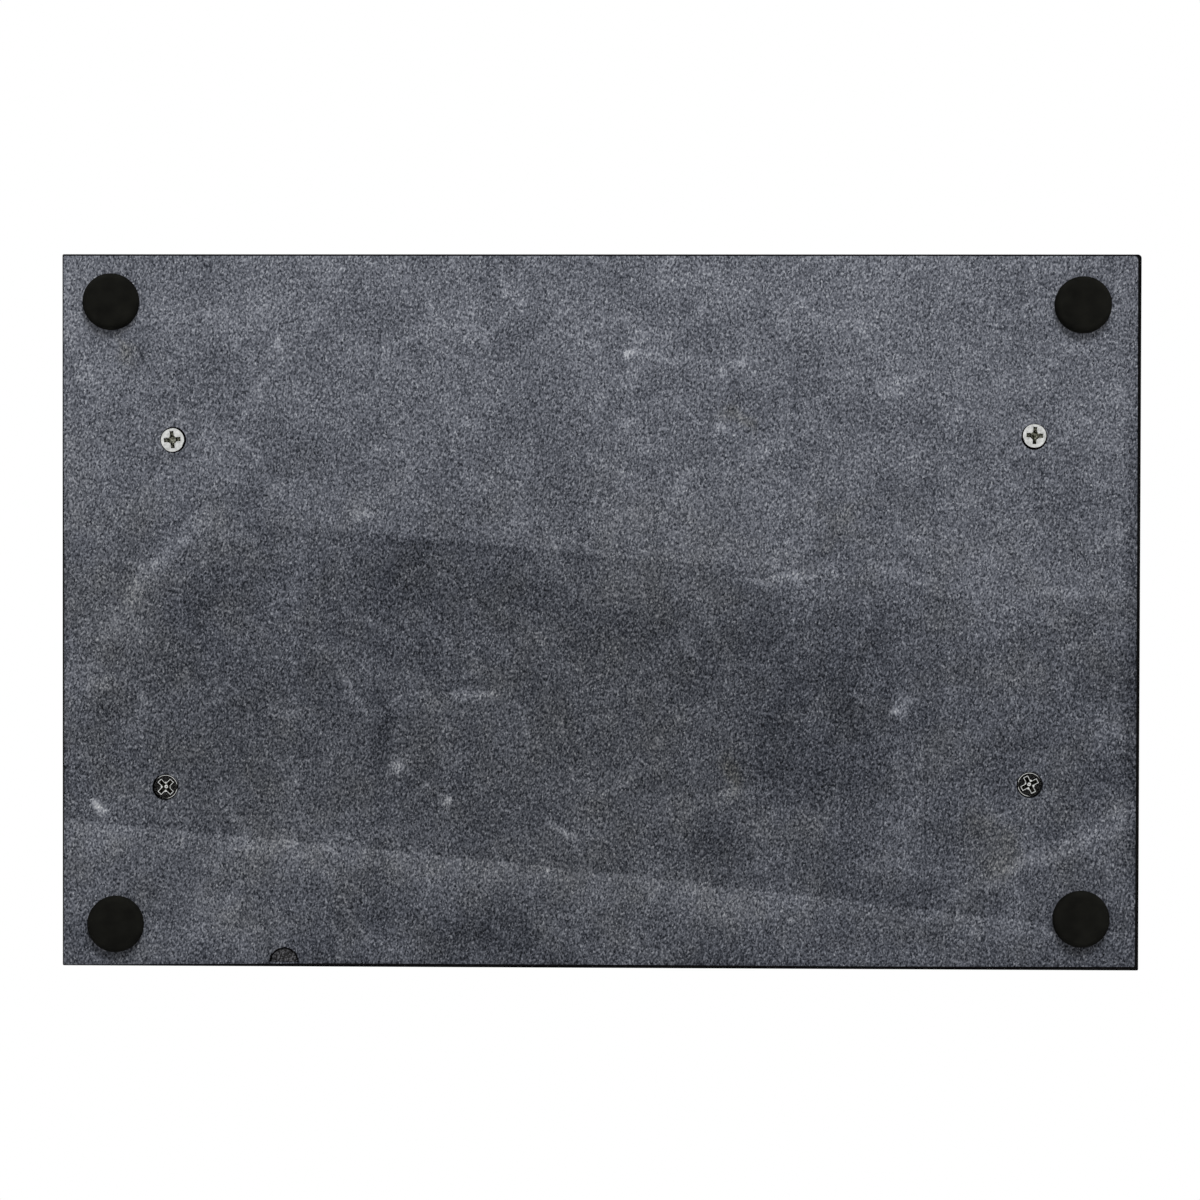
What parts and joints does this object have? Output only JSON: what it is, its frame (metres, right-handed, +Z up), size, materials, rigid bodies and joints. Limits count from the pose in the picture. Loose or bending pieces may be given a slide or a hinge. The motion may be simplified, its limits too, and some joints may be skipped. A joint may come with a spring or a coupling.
{
  "type": "serving tray",
  "caption": "Rectangular dark marble serving tray on round rubber feet, with a screwed-on brass bar handle standing at each short end for carrying.",
  "frame": {"origin": "centre of the tray's outline, on the surface that the feet stand on", "axes": "+X along the slab's length, +Y across it towards the back, +Z up through the top face and handles"},
  "size_m": [0.38, 0.2518, 0.0505],
  "materials": {
    "marble": "black marble: honed grey underside, polished top and edges",
    "foot_rubber": "matte moulded",
    "foot_adhesive": "matte foam tape",
    "screw_plate": "nickel plated steel",
    "washer_nylon": "natural nylon",
    "handle_brass": "satin brushed"
  },
  "bodies": {
    "root": {"marble_slab": "marble", "foot_front_left": "foot_rubber", "foot_front_right": "foot_rubber", "foot_back_left": "foot_rubber", "foot_back_right": "foot_rubber", "foot_adhesive_front_left": "foot_adhesive", "foot_adhesive_front_right": "foot_adhesive", "foot_adhesive_back_left": "foot_adhesive", "foot_adhesive_back_right": "foot_adhesive", "handle_screw_left_front": "screw_plate", "handle_screw_left_back": "screw_plate", "handle_screw_right_front": "screw_plate", "handle_screw_right_back": "screw_plate", "post_washer_left_front": "washer_nylon", "post_washer_left_back": "washer_nylon", "post_washer_right_front": "washer_nylon", "post_washer_right_back": "washer_nylon", "handle_post_left_front": "handle_brass", "handle_post_left_back": "handle_brass", "handle_post_right_front": "handle_brass", "handle_post_right_back": "handle_brass", "handle_bar_left": "handle_brass", "handle_bar_right": "handle_brass"}
  },
  "joints": []
}
